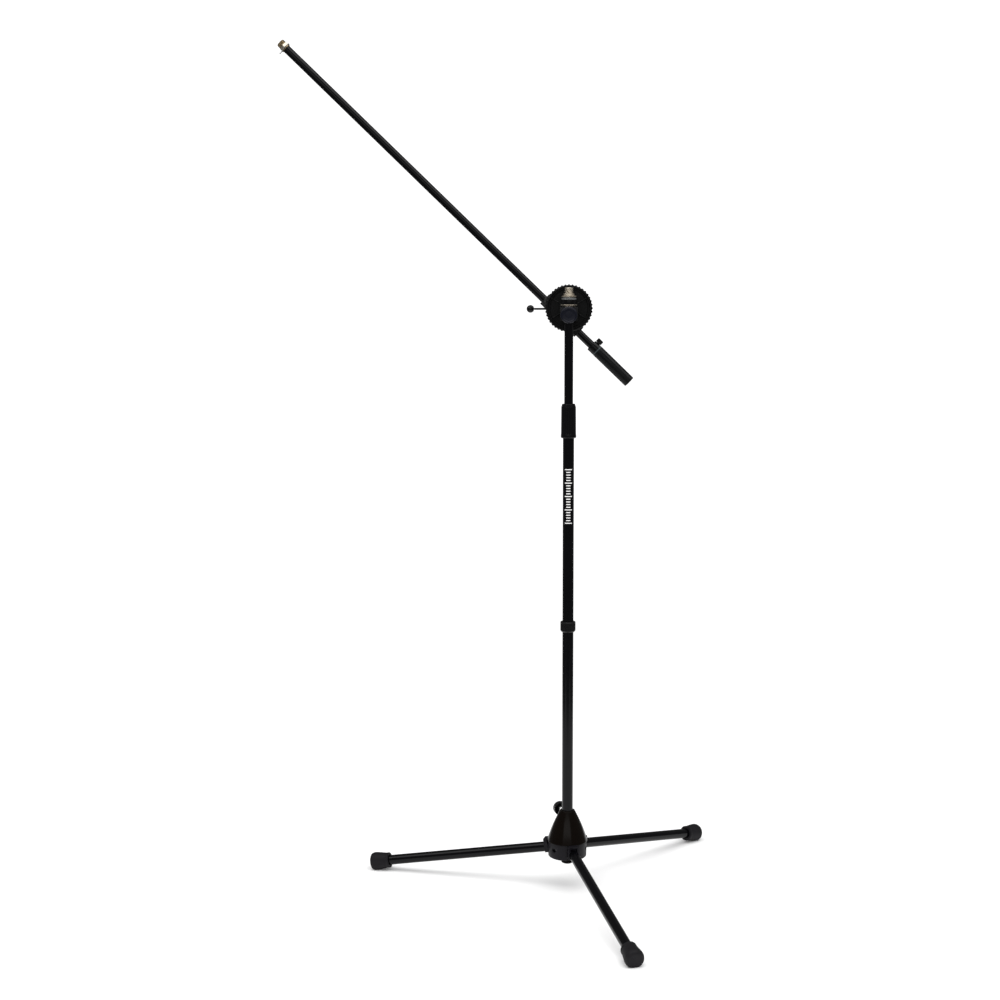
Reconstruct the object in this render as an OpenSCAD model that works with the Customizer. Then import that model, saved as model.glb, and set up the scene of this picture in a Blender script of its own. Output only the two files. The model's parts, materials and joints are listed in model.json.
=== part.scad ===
// Boom microphone stand: folding tripod base, telescopic mast and a tilting boom with a counterweight.
// Origin on the floor under the mast, +Z up. The boom swings in a plane parallel to XZ, its tip towards -X.
// Millimetres throughout.

/* [Legs] */
// Direction of the front leg, degrees from +X
front_leg_azimuth = 287; // [270:1:300]
// How steeply the open legs slope down, degrees
leg_slope = 10.1; // [8:0.1:12]
// Distance from the mast to the middle of each foot
foot_circle_r = 377; // [340:1:400]
// Diameter of the leg tubes
leg_d = 19; // [17:0.1:19.4]
// Length of the rubber feet
foot_len = 38; // [30:1:45]
// Diameter of a foot at its outer end
foot_d = 35; // [31:0.5:37]

/* [Hub] */
// Diameter of the hub ring at its top
hub_d = 74; // [72:0.5:76]
// Underside of the hub ring above the floor
hub_z = 62.7; // [60:0.1:66]
// Height of the hub ring
hub_ring_h = 30.3; // [29:0.1:31]
// Height of the cone above the ring
cone_h = 59; // [56:0.5:66]
// Diameter of the hub's lock knob
hub_knob_d = 26; // [24:1:34]

/* [Mast] */
// Diameter of the lower mast tubes
lower_d = 20.6; // [20.2:0.1:20.6]
// Diameter of the sliding upper tube
upper_d = 16.2; // [15.6:0.1:16.2]
// Height of the joint between the two lower tubes
joint_z = 507; // [400:1:600]
// Height of the lower edge of the height clutch
clutch_z = 862; // [800:1:862]
// Length of the height clutch
clutch_len = 63; // [60:1:63]
// Length of the upper tube
upper_len = 734; // [700:1:780]

/* [Boom] */
// Height of the tilt axis in this pose
tilt_z = 1100; // [1095:1:1105]
// Rise of the boom above the horizontal in this pose, degrees
boom_rise = 44; // [20:0.5:60]
// Diameter of the boom tube
boom_d = 14.8; // [14:0.1:14.8]
// Length of boom tube from the clamp's centre to the tip
boom_reach = 704; // [600:1:760]
// Diameter of the toothed tilt wheel over its teeth
wheel_d = 88.4; // [84:0.1:90]
// Number of teeth around the tilt wheel
wheel_teeth = 40; // [32:1:44]
// Length of the counterweight with its collar
weight_len = 99; // [90:1:110]
// Diameter of the counterweight
weight_d = 22.2; // [21:0.1:24]

/* [Hidden] */
$fn = 64;

// shared fits and thread sizes
running = 0.06;                 // radial play of a turning or sliding fit
stud_r = 25.4 * 5 / 16;         // 5/8 inch microphone thread, over its crests
stud_root_r = stud_r - 0.55;    // the same thread at its roots, drawn where a nut covers it
stud_bore_r = stud_r + 0.3;
stud_chamfer = 1;
m8_r = 4;
m6_r = 3;
m5_r = 2.5;
eps = 0.01;
far = 60;                       // longer than any cut needs

// hub and legs
hub_r = hub_d / 2;
hub_bottom_r = hub_r - 0.6;
ring_top_z = hub_z + hub_ring_h;
cone_top_z = ring_top_z + cone_h;
cone_base_r = hub_r + 1.4;
cone_top_r = 13.8;
cone_wall = 2.2;
cone_bulge = 1.8;
lower_r = lower_d / 2;
sleeve_in_r = lower_r + 0.1;
sleeve_r = sleeve_in_r + 1.5;
sleeve_z = hub_z + 2.5;
sleeve_top_z = cone_top_z - 5.6;
slot_w = 22.3;
slot_top_z = hub_z + 23.7;
slot_start = 10;                // the slots begin inside the pocket, clear of one another
pocket_r = 13.2;
pocket_top_z = slot_top_z + 0.8;
pivot_r = 18.5;
pivot_z = hub_z + 17.45;
bolt_half = 24;
bolt_head_r = 3.6;
bolt_head_len = 3.5;
bolt_recess_r = 4;
lock_azimuth = front_leg_azimuth - 180;
lock_z = cone_top_z - 12;
lock_boss_r = 5.4;
lock_boss_out = 22;
lock_knob_in = 41;
lock_knob_out = 54;
lock_knob_wall = 2.6;
lock_knob_floor = 6;              // depth of the hollow behind the knob's face
lock_knob_boss_r = 7;
lock_screw_in = 5;               // how far the screw runs into the knob
hinge_w = 21.5;
hinge_eye_w = 21;
hinge_eye_r = 5.5;
hinge_plate_x = 17.4;           // the plate's inner face, against the ring's rim when the leg is open
hinge_plate_t = 3.4;
hinge_rim_t = 3.45;
hinge_low = -8.8;
hinge_high = 17.5;
hinge_arm = 4.5;
hinge_top_bar = 3.5;
hinge_corner = 3;
leg_r = leg_d / 2;
leg_wall = 1.2;
leg_start = hinge_plate_x + hinge_plate_t + hinge_rim_t;
spigot_len = 24;
foot_mid = (foot_circle_r - pivot_r) / cos(leg_slope);
foot_start = foot_mid - foot_len / 2;
foot_end = foot_mid + foot_len / 2;
foot_mouth_r = 14.8;
foot_round = 6;
leg_end = foot_end - 6;
leg_azimuths = [front_leg_azimuth, front_leg_azimuth - 120, front_leg_azimuth - 240];
FRONT = leg_azimuths[0];
LEFT = leg_azimuths[1];
RIGHT = leg_azimuths[2];

// mast
lower_in_r = lower_r - 1.2;
lower_end_z = hub_z + 0.3;
plug_neck_r = 7.4;
plug_flange_r = 11.3;
plug_flange_t = 3;
plug_z = hub_z - 14.2;
plug_spigot = 16;
collar_half = 9.75;
collar_r = 14.25;
clutch_top_z = clutch_z + clutch_len;
clutch_body_r = lower_r + 1.4;
clutch_body_z = clutch_z + 12;
clutch_body_top = clutch_z + 46;
collet_r = 11;
collet_tip_r = 9.6;
collet_len = 11;
collet_seat = 2;
collet_slit = 2;
middle_top_z = clutch_z + 42;
grip_bottom_r = 14.3;
grip_top_r = 13.5;
grip_band = 16;                 // height of the plain band round the grip's foot
grip_bevel = 6;
grip_lip = 4;
upper_r = upper_d / 2;
upper_in_r = upper_r - 1;
upper_top_z = tilt_z - 16;
upper_z = upper_top_z - upper_len;
bush_len = 25;
bush_floor = 3;

// head, from the bracket's underside to the top of the stud
bracket_z = tilt_z - 23;
bracket_top_z = tilt_z + 2.7;
bracket_half_w = 16.4;
bracket_front = -12;
bracket_back = 15.8;
ear_back = 23.5;
ear_r = 13;
plate_r = 15.6;
plate_h = 4.2;
spacer_r = 12.8;
spacer_h = 9.3;
lock_washer_r = 13.4;
lock_washer_h = 2.6;
lock_washer_dish = 1.8;
lock_washer_neck_r = 10;
washer_r = 13.6;
washer_h = 2.4;
nut_r = 9.8;
nut_h = 4.4;
nut_flange = 1;
plate_z = bracket_top_z;
spacer_z = plate_z + plate_h;
lock_washer_z = spacer_z + spacer_h;
washer_z = lock_washer_z + lock_washer_h + lock_washer_dish;
nut_z = washer_z + washer_h;
stud_top_z = tilt_z + 38;
stud_spigot = 30;
head_knob_z = tilt_z - 11.6;
head_knob_r = 15.7;
head_knob_front = -29;
head_knob_back = -15;
head_knob_lip = 3.2;
head_knob_dish = 0.8;
head_screw_in = 6;               // how far the screw runs into the knob

// tilt joint, along +Y from the bracket's ear
tilt_spacer_t = 1;
tilt_spacer_r = 11;
wheel_front = ear_back + tilt_spacer_t + 0.2;
wheel_t = 11;
wheel_back = wheel_front + wheel_t;
wheel_tooth_r = 2.2;
wheel_tooth_h = 1.5;
wheel_rim_r = wheel_d / 2 - wheel_tooth_h;
wheel_rim_w = 4;
wheel_web_t = 3;
wheel_hub_r = 10;
wheel_insert_r = 6.5;
wheel_ribs = 6;
wheel_rib_t = 1.6;
friction_t = 1;
friction_front = wheel_back + 0.2;
clamp_front = friction_front + friction_t;
clamp_ear_t = 6.6;
clamp_ear_r = 12;
tilt_washer_y = clamp_front + clamp_ear_t + 0.1;
tilt_washer_t = 1.6;
tilt_washer_r = 7.8;
tilt_nut_h = 6.5;
tilt_nut_af = 13;
tilt_end = tilt_washer_y + tilt_washer_t + tilt_nut_h + 2;

// boom clamp and lever, in the boom's own frame: +Z to the tip, +X to the tilt axis
boom_offset = 20;               // distance from the tilt axis to the boom's axis
boom_y = 48;
clamp_len = 89;
clamp_half_y = boom_y - clamp_front;
clamp_low = -11;
clamp_high = 12.6;
clamp_chamfer = 3;
boom_r = boom_d / 2;
boom_in_r = boom_r - 1;
boom_bore_r = boom_r + running + 0.02;
clamp_bore_r = 8.2;
clamp_bush_r = 9.2;
clamp_bush_len = 14;
nut_pocket_r = 8.5;
lever_s = 18.8;
lever_boss_r = 8;
lever_boss_y = clamp_half_y + 4.5;
lever_head_r = 6;
lever_head_y = lever_boss_y + 0.4;
lever_head_len = 8;
lever_rod_r = 1.9;
lever_rod_in = 4;
lever_rod_short = 3;             // how far short of the ball's centre the rod ends
lever_reach = 44.5;
lever_ball_r = 7.2;

// boom ends
boom_back = -135;
tip_flange_r = 8.6;
tip_flange_t = 2;
tip_washer_t = 1;
tip_washer_r = 10.2;
tip_nut_t = 5;
tip_nut_af = 17;
tip_stud_end = 16;
tip_spigot = 24;
tab_end = 15;
tab_w = 3.2;
tab_h = 3;
weight_top = -77.7;
weight_end = weight_top - weight_len;
weight_collar_len = 13.7;
weight_collar_r = 10.9;
weight_band_len = 2.2;
weight_r = weight_d / 2;
weight_core_r = 9.7;
weight_floor = 18;
weight_screw_s = weight_top - 6.8;
weight_screw_r = 6;
weight_screw_head = 8;

// ---- helpers ----

// A plain tube between two heights.
module tube(r_out, r_in, z0, z1)
    translate([0, 0, z0]) difference() {
        cylinder(h = z1 - z0, r = r_out);
        translate([0, 0, -eps]) cylinder(h = z1 - z0 + 2 * eps, r = r_in);
    }

// A cylinder along +Y between two places.
module y_cylinder(r, y0, y1)
    translate([0, y0, 0]) rotate([-90, 0, 0]) cylinder(h = y1 - y0, r = r);

// A slab of width w (Y) and thickness t (X) between two heights, with its two upper corners rounded.
module arched_slab(w, t, z0, z1, corner) {
    translate([0, -w / 2, z0]) cube([t, w, z1 - z0 - corner]);
    translate([0, -w / 2 + corner, z0]) cube([t, w - 2 * corner, z1 - z0]);
    for (side = [-1, 1]) translate([0, side * (w / 2 - corner), z1 - corner])
        rotate([0, 90, 0]) cylinder(h = t, r = corner);
}

// Places children on a leg's pivot: +X out along the open leg, +Y along the pivot bolt.
module at_leg(azimuth)
    rotate([0, 0, azimuth]) translate([pivot_r, 0, pivot_z]) rotate([0, leg_slope, 0]) children();

// Places children on the hub's lock screw: +Z outwards from the mast's axis.
module at_hub_lock()
    translate([0, 0, lock_z]) rotate([0, 0, lock_azimuth]) rotate([0, 90, 0]) children();

// Places children on the tilt axis, which runs along +Y.
module at_tilt()
    translate([0, 0, tilt_z]) children();

// Places children in the boom's frame.
module at_boom()
    translate([0, boom_y, tilt_z]) rotate([0, boom_rise - 90, 0]) translate([-boom_offset, 0, 0])
        children();

// ---- hub ----

module hub_ring_solid()
    rotate_extrude() polygon([
        [sleeve_in_r + 0.5, hub_z], [hub_bottom_r - 1.2, hub_z], [hub_bottom_r, hub_z + 1.2],
        [hub_r, ring_top_z - 0.6], [hub_r - 0.6, ring_top_z], [sleeve_in_r + 0.5, ring_top_z],
    ]);

module hub_body() color([0.16, 0.15, 0.17]) difference() {
    union() {
        difference() {
            hub_ring_solid();
            translate([0, 0, hub_z - 1]) cylinder(h = pocket_top_z - hub_z + 1, r = pocket_r);
            for (a = leg_azimuths) rotate([0, 0, a]) translate([slot_start, -slot_w / 2, hub_z - 1])
                cube([far, slot_w, slot_top_z - hub_z + 1]);
        }
        tube(sleeve_r, sleeve_in_r, sleeve_z, sleeve_top_z);
        at_hub_lock() cylinder(h = lock_boss_out, r = lock_boss_r);
    }
    translate([0, 0, hub_z - 1]) cylinder(h = sleeve_top_z, r = sleeve_in_r);
    at_hub_lock() cylinder(h = far, r = m8_r + running);
    for (a = leg_azimuths) rotate([0, 0, a]) translate([pivot_r, 0, pivot_z]) {
        y_cylinder(m5_r, -bolt_half, bolt_half);
        y_cylinder(bolt_recess_r, bolt_half - bolt_head_len, far);
    }
}

module leg_pivot_bolts() color([0.55, 0.55, 0.57])
    for (a = leg_azimuths) rotate([0, 0, a]) translate([pivot_r, 0, pivot_z]) {
        y_cylinder(m5_r, -bolt_half, bolt_half - bolt_head_len);
        difference() {
            y_cylinder(bolt_head_r, bolt_half - bolt_head_len, bolt_half);
            y_cylinder(1.5, bolt_half - 1.8, far);
        }
    }

function cone_r(t) = cone_base_r + (cone_top_r - cone_base_r) * t + cone_bulge * sin(180 * t);

module hub_cone() color([0.06, 0.055, 0.055]) difference() {
    rotate_extrude() polygon(concat(
        [for (t = [0:0.1:1]) [cone_r(t), ring_top_z + cone_h * t]],
        [[sleeve_in_r + 0.2, cone_top_z], [sleeve_in_r + 0.2, cone_top_z - 3]],
        [for (t = [0.9:-0.1:0]) [cone_r(t) - cone_wall, ring_top_z + cone_h * t]]
    ));
    at_hub_lock() cylinder(h = far, r = lock_boss_r + 0.4);
}

module hub_lock_pad() color([0.75, 0.6, 0.3]) at_hub_lock()
    translate([0, 0, lower_r + 0.15]) cylinder(h = 2, r = m8_r - 0.1);

module hub_lock_screw() color([0.8, 0.8, 0.8]) at_hub_lock()
    translate([0, 0, lower_r + 2.4])
        cylinder(h = lock_knob_in + lock_screw_in - lower_r, r = m8_r);

module hub_lock_knob() color([0.07, 0.07, 0.07]) at_hub_lock() {
    knob_r = hub_knob_d / 2;
    skirt_r = knob_r - lock_knob_wall;
    screw_end = lock_knob_in + lock_screw_in + 2.4;
    difference() {
        union() {
            rotate_extrude() polygon([
                [0, lock_knob_in + lock_knob_floor], [skirt_r, lock_knob_in + lock_knob_floor],
                [skirt_r, lock_knob_in], [knob_r - 0.8, lock_knob_in], [knob_r, lock_knob_in + 0.8],
                [knob_r, lock_knob_out - 3], [knob_r - 2.4, lock_knob_out], [0, lock_knob_out],
            ]);
            translate([0, 0, lock_knob_in + 1]) cylinder(h = lock_knob_floor, r = lock_knob_boss_r);
        }
        cylinder(h = screw_end, r = m8_r);
    }
}

// ---- legs ----

module leg_hinge(azimuth) color([0.15, 0.15, 0.16]) at_leg(azimuth) difference() {
    union() {
        y_cylinder(hinge_eye_r, -hinge_eye_w / 2, hinge_eye_w / 2);
        translate([0, -hinge_eye_w / 2, -hinge_eye_r])
            cube([hinge_plate_x + 1, hinge_eye_w, 2 * hinge_eye_r]);
        translate([hinge_plate_x, 0, 0])
            arched_slab(hinge_w, hinge_plate_t, hinge_low, hinge_high, hinge_corner);
        translate([hinge_plate_x + hinge_plate_t - 1, 0, 0]) difference() {
            arched_slab(hinge_w, hinge_rim_t + 1, hinge_low, hinge_high, hinge_corner);
            translate([-1, -hinge_w / 2 + hinge_arm, hinge_low - 1])
                cube([far, hinge_w - 2 * hinge_arm, hinge_high - hinge_low - hinge_top_bar + 1]);
        }
        translate([hinge_plate_x, 0, 0]) rotate([0, 90, 0])
            cylinder(h = leg_start + spigot_len - hinge_plate_x, r = leg_r - leg_wall);
    }
    y_cylinder(m5_r + running, -far, far);
}

module leg_tube(azimuth) color([0.06, 0.06, 0.065]) at_leg(azimuth)
    rotate([0, 90, 0]) tube(leg_r, leg_r - leg_wall, leg_start, leg_end);

module foot(azimuth) color([0.17, 0.17, 0.18]) difference() {
    at_leg(azimuth) rotate([0, 90, 0]) rotate_extrude() polygon(concat(
        [[0, leg_end], [leg_r, leg_end], [leg_r, foot_start], [foot_mouth_r - 0.6, foot_start],
         [foot_mouth_r, foot_start + 0.6], [foot_mouth_r, foot_start + 4],
         [foot_mouth_r - 0.5, foot_start + 4.6]],
        [for (a = [0:15:90])
            [foot_d / 2 - foot_round * (1 - cos(a)), foot_end - foot_round * (1 - sin(a))]],
        [[0, foot_end]]
    ));
    rotate([0, 0, azimuth]) translate([0, -far, -2 * far])
        cube([foot_circle_r + far, 2 * far, 2 * far]);
}

// ---- mast ----

module mast_foot_plug() color([0.05, 0.05, 0.05]) {
    rotate_extrude() polygon([
        [0, plug_z], [plug_flange_r - 1.4, plug_z], [plug_flange_r, plug_z + 1.2],
        [plug_flange_r, plug_z + plug_flange_t], [plug_neck_r, plug_z + plug_flange_t + 1],
        [plug_neck_r, lower_end_z], [lower_in_r, lower_end_z],
        [lower_in_r, lower_end_z + plug_spigot], [0, lower_end_z + plug_spigot],
    ]);
}

module mast_lower_tube() color([0.045, 0.045, 0.05])
    tube(lower_r, lower_in_r, lower_end_z, joint_z);

module mast_middle_tube() color([0.045, 0.045, 0.05])
    tube(lower_r, lower_in_r, joint_z, middle_top_z);

module mast_joint_collar() color([0.06, 0.06, 0.06])
    rotate_extrude() polygon([
        [lower_r, joint_z - collar_half], [collar_r - 2.2, joint_z - collar_half],
        [collar_r, joint_z - collar_half + 2.6], [collar_r, joint_z + collar_half - 0.8],
        [collar_r - 0.8, joint_z + collar_half], [lower_r, joint_z + collar_half],
    ]);

// Threaded sleeve pressed on the top of the middle tube. The grip turns on it.
module clutch_body() color([0.1, 0.1, 0.1]) difference() {
    translate([0, 0, clutch_body_z]) cylinder(h = clutch_body_top - clutch_body_z, r = clutch_body_r);
    translate([0, 0, clutch_z]) cylinder(h = middle_top_z - clutch_z, r = lower_r);
    translate([0, 0, clutch_z]) cylinder(h = far, r = upper_r + 0.5);
}

// Slit cone ring that the grip squeezes onto the upper tube.
module clutch_collet() color([0.7, 0.7, 0.68]) difference() {
    rotate_extrude() polygon([
        [upper_r + running, clutch_body_top], [collet_r, clutch_body_top],
        [collet_r, clutch_body_top + collet_seat], [collet_tip_r, clutch_body_top + collet_len],
        [upper_r + running, clutch_body_top + collet_len],
    ]);
    translate([0, -collet_slit / 2, clutch_body_top + collet_seat]) cube([far, collet_slit, far]);
}

module clutch_grip() color([0.05, 0.05, 0.055]) rotate_extrude() polygon([
    [lower_r + 0.4, clutch_z], [grip_bottom_r - 0.6, clutch_z], [grip_bottom_r, clutch_z + 0.6],
    [grip_bottom_r, clutch_z + grip_band], [grip_bottom_r - 0.3, clutch_z + grip_band + 0.6],
    [grip_top_r, clutch_top_z - grip_bevel], [grip_top_r - 1.6, clutch_top_z],
    [upper_r + 0.5, clutch_top_z], [upper_r + 0.5, clutch_top_z - grip_lip],
    [collet_tip_r + 0.4, clutch_top_z - grip_lip - 1], [collet_r + 0.5, clutch_body_top + collet_seat],
    [clutch_body_r + running, clutch_body_top + 0.5], [clutch_body_r + running, clutch_body_z - 0.5],
    [lower_r + 0.4, clutch_body_z - 1.5],
]);

// Slides in the lower tubes and carries the lower end of the upper tube.
module guide_bush() color([0.85, 0.84, 0.8]) difference() {
    translate([0, 0, upper_z - bush_floor]) cylinder(h = bush_len, r = lower_in_r - running);
    translate([0, 0, upper_z - 0.15]) cylinder(h = bush_len, r = upper_r + running);
}

module upper_tube() color([0.045, 0.045, 0.05])
    tube(upper_r, upper_in_r, upper_z, upper_top_z);

// ---- head ----

// The free end of a 5/8 inch stud.
module threaded_end(len) {
    cylinder(h = len - stud_chamfer, r = stud_r);
    translate([0, 0, len - stud_chamfer])
        cylinder(h = stud_chamfer, r1 = stud_r, r2 = stud_r - stud_chamfer);
}

module head_stud() color([0.82, 0.78, 0.68]) {
    nut_top_z = nut_z + nut_h;
    translate([0, 0, upper_top_z - stud_spigot]) cylinder(h = stud_spigot + eps, r = upper_in_r);
    translate([0, 0, upper_top_z]) cylinder(h = plate_z - upper_top_z, r = upper_r);
    translate([0, 0, plate_z - eps]) cylinder(h = nut_top_z - plate_z + 2 * eps, r = stud_root_r);
    translate([0, 0, nut_top_z]) threaded_end(stud_top_z - nut_top_z);
}

module head_bracket() color([0.05, 0.05, 0.055]) difference() {
    union() {
        translate([-bracket_half_w, bracket_front, bracket_z])
            cube([2 * bracket_half_w, bracket_back - bracket_front, bracket_top_z - bracket_z]);
        translate([-ear_r, bracket_back - 1, bracket_z])
            cube([2 * ear_r, ear_back - bracket_back + 1, tilt_z - bracket_z]);
        at_tilt() y_cylinder(ear_r, bracket_back, ear_back);
    }
    translate([0, 0, bracket_z - 1]) cylinder(h = far, r = upper_r);
    translate([0, 0, head_knob_z]) y_cylinder(m6_r + running, bracket_front - 1, 0);
    at_tilt() y_cylinder(m8_r, bracket_back, far);
    translate([-far, -far, bracket_top_z]) cube([2 * far, far + bracket_back - eps, far]);
}

// One ring of the stack on the head stud, with chamfered edges.
module stack_ring(r, z, h, edge = 0.4) rotate_extrude() polygon([
    [stud_bore_r, z], [r - edge, z], [r, z + edge],
    [r, z + h - edge], [r - edge, z + h], [stud_bore_r, z + h],
]);

module head_plate() color([0.78, 0.78, 0.78]) rotate_extrude() polygon([
    [stud_bore_r, plate_z], [plate_r - 3.5, plate_z], [plate_r, plate_z + plate_h - 1],
    [plate_r, plate_z + plate_h], [stud_bore_r, plate_z + plate_h],
]);

module head_spacer() color([0.05, 0.05, 0.05]) stack_ring(spacer_r, spacer_z, spacer_h, 1);

module head_lock_washer() color([0.55, 0.56, 0.55]) {
    stack_ring(lock_washer_r, lock_washer_z, lock_washer_h, 0.5);
    stack_ring(lock_washer_neck_r, lock_washer_z + lock_washer_h, lock_washer_dish, 0.2);
}

module head_washer() color([0.85, 0.85, 0.84]) stack_ring(washer_r, washer_z, washer_h, 0.5);

module head_nut() color([0.82, 0.8, 0.74]) rotate_extrude() polygon([
    [stud_root_r, nut_z], [nut_r + nut_flange, nut_z], [nut_r + nut_flange, nut_z + nut_flange],
    [nut_r, nut_z + nut_flange + 0.8], [nut_r - 0.6, nut_z + nut_h], [stud_root_r, nut_z + nut_h],
]);

module head_lock_screw() color([0.7, 0.7, 0.7]) translate([0, 0, head_knob_z])
    y_cylinder(m6_r, head_knob_back - head_screw_in, -upper_r - 0.3);

module head_lock_knob() color([0.23, 0.24, 0.3]) translate([0, 0, head_knob_z]) difference() {
    rotate([90, 0, 0]) rotate_extrude() polygon([
        [0, -head_knob_back], [head_knob_r - 3, -head_knob_back],
        [head_knob_r - 0.4, -head_knob_back + 3], [head_knob_r, -head_knob_back + 4],
        [head_knob_r, -head_knob_front - 3.4], [head_knob_r - 0.9, -head_knob_front - 1.2],
        [head_knob_r - head_knob_lip, -head_knob_front],
        [head_knob_r - head_knob_lip - 1.2, -head_knob_front - head_knob_dish],
        [0, -head_knob_front - head_knob_dish],
    ]);
    y_cylinder(m6_r, head_knob_back - head_screw_in, 0);
}

// ---- tilt joint ----

module tilt_stud() color([0.7, 0.7, 0.7]) at_tilt() y_cylinder(m8_r, bracket_back, tilt_end);

module tilt_spacer() color([0.8, 0.8, 0.8]) at_tilt() difference() {
    y_cylinder(tilt_spacer_r, ear_back, ear_back + tilt_spacer_t);
    y_cylinder(m8_r, 0, far);
}

module tilt_washer() color([0.8, 0.8, 0.8]) at_tilt() difference() {
    y_cylinder(tilt_washer_r, tilt_washer_y, tilt_washer_y + tilt_washer_t);
    y_cylinder(m8_r, 0, far);
}

module tilt_nut() color([0.75, 0.75, 0.75]) at_tilt() difference() {
    translate([0, tilt_washer_y + tilt_washer_t, 0]) rotate([-90, 0, 0])
        cylinder(h = tilt_nut_h, r = tilt_nut_af / 2 / cos(30), $fn = 6);
    y_cylinder(m8_r, 0, far);
}

// The wheel's metal core, threaded on the tilt stud.
module tilt_wheel_insert() color([0.8, 0.7, 0.4]) at_tilt() difference() {
    y_cylinder(wheel_insert_r, wheel_front + 1, wheel_back - 1);
    y_cylinder(m8_r + running, 0, far);
}

module tilt_wheel() color([0.05, 0.05, 0.05]) at_tilt() difference() {
    union() {
        difference() {
            union() {
                y_cylinder(wheel_rim_r, wheel_front, wheel_back);
                for (i = [0:wheel_teeth - 1]) rotate([0, i * 360 / wheel_teeth, 0])
                    translate([wheel_d / 2 - wheel_tooth_r, 0, 0])
                        y_cylinder(wheel_tooth_r, wheel_front + 0.8, wheel_back - 0.8);
            }
            y_cylinder(wheel_rim_r - wheel_rim_w, wheel_front - 1, wheel_back - wheel_web_t);
        }
        y_cylinder(wheel_hub_r, wheel_front, wheel_back);
        for (i = [0:wheel_ribs - 1]) rotate([0, i * 360 / wheel_ribs + 30, 0])
            translate([wheel_hub_r - 1, wheel_front + 1.5, -wheel_rib_t / 2])
                cube([wheel_rim_r - wheel_rim_w - wheel_hub_r + 2, wheel_t - wheel_web_t, wheel_rib_t]);
    }
    y_cylinder(wheel_insert_r, wheel_front + 1, wheel_back - 1);
    y_cylinder(m8_r + 0.5, 0, far);
}

module tilt_friction_disc() color([0.3, 0.22, 0.18]) at_tilt() difference() {
    y_cylinder(clamp_ear_r, friction_front, clamp_front);
    y_cylinder(m8_r + running, 0, far);
}

// ---- boom clamp ----

module clamp_outline() polygon([
    [clamp_low + clamp_chamfer, -clamp_half_y], [clamp_high - clamp_chamfer, -clamp_half_y],
    [clamp_high, -clamp_half_y + clamp_chamfer], [clamp_high, clamp_half_y - clamp_chamfer],
    [clamp_high - clamp_chamfer, clamp_half_y], [clamp_low + clamp_chamfer, clamp_half_y],
    [clamp_low, clamp_half_y - clamp_chamfer], [clamp_low, -clamp_half_y + clamp_chamfer],
]);

module boom_clamp() color([0.06, 0.06, 0.065]) at_boom() difference() {
    union() {
        translate([0, 0, -clamp_len / 2]) linear_extrude(clamp_len) clamp_outline();
        translate([boom_offset, 0, 0]) y_cylinder(clamp_ear_r, -clamp_half_y, clamp_ear_t - clamp_half_y);
        translate([0, -clamp_half_y, -clamp_ear_r])
            cube([boom_offset, clamp_ear_t, 2 * clamp_ear_r]);
        translate([0, 0, lever_s]) y_cylinder(lever_boss_r, 0, lever_boss_y);
    }
    translate([0, 0, -clamp_len]) cylinder(h = 2 * clamp_len, r = clamp_bore_r);
    for (end = [-1, 1]) translate([0, 0, end * (clamp_len / 2 - clamp_bush_len / 2)])
        cylinder(h = clamp_bush_len + eps, r = clamp_bush_r, center = true);
    translate([boom_offset, 0, 0]) y_cylinder(m8_r + running, -far, far);
    translate([boom_offset, 0, 0]) y_cylinder(nut_pocket_r, clamp_ear_t - clamp_half_y, far);
    translate([0, 0, lever_s]) y_cylinder(m8_r + running, 0, far);
}

// Plastic liners in both ends of the clamp, which the boom slides through.
module clamp_bushes() color([0.12, 0.12, 0.12]) at_boom() for (end = [-1, 1])
    translate([0, 0, end * (clamp_len - clamp_bush_len) / 2])
        tube(clamp_bush_r, boom_bore_r, -clamp_bush_len / 2, clamp_bush_len / 2);

module clamp_pad() color([0.75, 0.6, 0.3]) at_boom() translate([0, 0, lever_s])
    y_cylinder(m8_r - 0.1, boom_r + 0.15, boom_r + 2.2);

module lever_screw() color([0.08, 0.08, 0.08]) at_boom() translate([0, 0, lever_s]) difference() {
    union() {
        y_cylinder(m8_r, boom_r + 2.4, lever_head_y + 1);
        y_cylinder(lever_head_r, lever_head_y, lever_head_y + lever_head_len);
    }
    lever_rod_space();
}

// Lies level, at right angles to the screw, and points away from the mast.
module lever_rod_space() translate([0, lever_head_y + lever_head_len / 2, 0]) rotate([0, -boom_rise, 0])
    translate([0, 0, -lever_rod_in])
        cylinder(h = lever_reach + lever_rod_in - lever_rod_short, r = lever_rod_r);

module lever_rod() color([0.1, 0.1, 0.1]) at_boom() translate([0, 0, lever_s]) lever_rod_space();

module lever_ball() color([0.04, 0.04, 0.045]) at_boom() translate([0, 0, lever_s]) difference() {
    translate([0, lever_head_y + lever_head_len / 2, 0]) rotate([0, -boom_rise, 0])
        translate([0, 0, lever_reach]) sphere(r = lever_ball_r);
    lever_rod_space();
}

// ---- boom ----

module boom_tube() color([0.05, 0.05, 0.055]) at_boom()
    tube(boom_r, boom_in_r, boom_back, boom_reach);

module tip_stud() color([0.8, 0.7, 0.5]) at_boom() {
    nut_top = tip_flange_t + tip_washer_t + tip_nut_t;
    translate([0, 0, boom_reach - tip_spigot]) cylinder(h = tip_spigot + eps, r = boom_in_r);
    translate([0, 0, boom_reach]) cylinder(h = tip_flange_t, r = tip_flange_r);
    translate([0, 0, boom_reach + tip_flange_t - eps])
        cylinder(h = nut_top - tip_flange_t + 2 * eps, r = stud_root_r);
    translate([0, 0, boom_reach + nut_top]) threaded_end(tip_stud_end - nut_top);
}

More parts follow.
